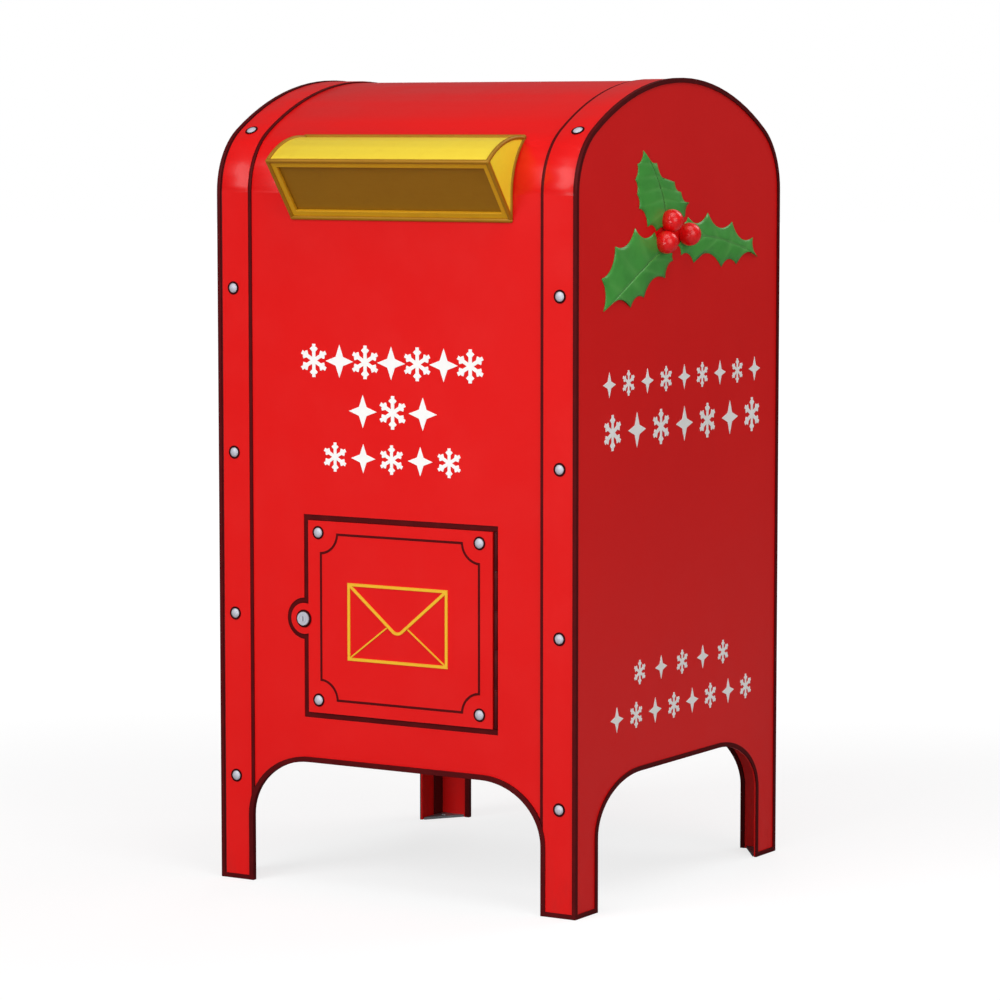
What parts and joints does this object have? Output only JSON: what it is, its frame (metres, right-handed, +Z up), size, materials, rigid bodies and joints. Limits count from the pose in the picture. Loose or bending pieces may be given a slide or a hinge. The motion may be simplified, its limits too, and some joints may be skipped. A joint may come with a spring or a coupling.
{
  "type": "letter collection box",
  "caption": "Red sheet-steel letter box with barrel top, four legs, riveted corner bands, brass letter hood with flap, and a lockable collection door.",
  "frame": {"origin": "on the ground, at the centre of the rectangle of four anchor holes in the foot plates, which is the centre of the leg footprint", "axes": "+Z up, front face with the letter slot and door towards -Y, +X to the right seen from the front"},
  "size_m": [0.646, 0.6816, 1.2],
  "materials": {
    "red_enamel": "gloss enamel on sheet steel",
    "maroon_trim": "dark maroon rubber-like edge trim, washers, seals and line inlays",
    "maroon_hinge": "dark maroon painted hinge",
    "zinc": "satin zinc-plated fasteners and lock",
    "steel": "galvanised inner sheet parts",
    "brass": "polished brass hood",
    "aged_brass": "darker aged brass rim",
    "dark_bronze": "dark bronze flap",
    "gold_enamel": "gold enamel on raised lines",
    "holly_green": "green enamel appliques",
    "berry_red": "bright red enamel domes",
    "white_decal": "white film appliques"
  },
  "bodies": {
    "cabinet": {"side_plate_left": "red_enamel", "side_plate_right": "red_enamel", "corner_band_left": "red_enamel", "corner_band_right": "red_enamel", "wrap_sheet": "red_enamel", "back_panel": "red_enamel", "back_seam_strip": "red_enamel", "back_seam_rivets": "zinc", "edge_trim_left": "maroon_trim", "edge_trim_right": "maroon_trim", "arch_trim_front": "maroon_trim", "arch_trim_back": "maroon_trim", "seam_bead_left": "maroon_trim", "seam_bead_right": "maroon_trim", "band_rivets_left": "zinc", "band_rivets_right": "zinc", "rivet_washers_left": "maroon_trim", "rivet_washers_right": "maroon_trim", "floor_pan": "steel", "foot_plates": "steel", "door_frame": "steel", "door_gasket": "maroon_trim", "strike_plate": "zinc", "hinge_fixed_leaf": "maroon_hinge", "hinge_pin": "steel", "hinge_rivets_frame": "zinc", "slot_hood": "brass", "mouth_rim": "aged_brass", "hood_brackets": "steel", "hood_screws": "zinc", "flap_pin": "steel", "letter_chute": "steel", "anti_fishing_baffle": "steel", "holly_leaves": "holly_green", "holly_berries": "berry_red", "front_ornaments": "white_decal", "side_ornaments": "white_decal"},
    "collection_door": {"door_panel": "red_enamel", "door_inner_pan": "steel", "door_bolts": "zinc", "door_bolt_washers": "maroon_trim", "door_bolt_nuts": "zinc", "door_border": "maroon_trim", "envelope_emblem": "gold_enamel", "hinge_door_leaf": "maroon_hinge", "hinge_rivets_door": "zinc", "lock_body": "zinc", "lock_bezel": "maroon_trim", "lock_nut": "zinc"},
    "lock_core": {"lock_plug": "zinc", "lock_cam": "steel", "cam_screw": "zinc"},
    "letter_flap_body": {"letter_flap": "dark_bronze"}
  },
  "joints": [
    {"name": "door_hinge", "type": "hinge", "parent": "cabinet", "child": "collection_door", "pos_m": [0.174, -0.3042, 0.407], "axis": [0, 0, 1], "range_deg": [0, 105]},
    {"name": "lock_turn", "type": "hinge", "parent": "collection_door", "child": "lock_core", "pos_m": [-0.158, -0.3, 0.403], "axis": [0, 1, 0], "range_deg": [0, 90]},
    {"name": "flap_swing", "type": "hinge", "parent": "cabinet", "child": "letter_flap_body", "pos_m": [0.012, -0.35518, 1.07615], "axis": [1, 0, 0], "range_deg": [0, 55]}
  ]
}
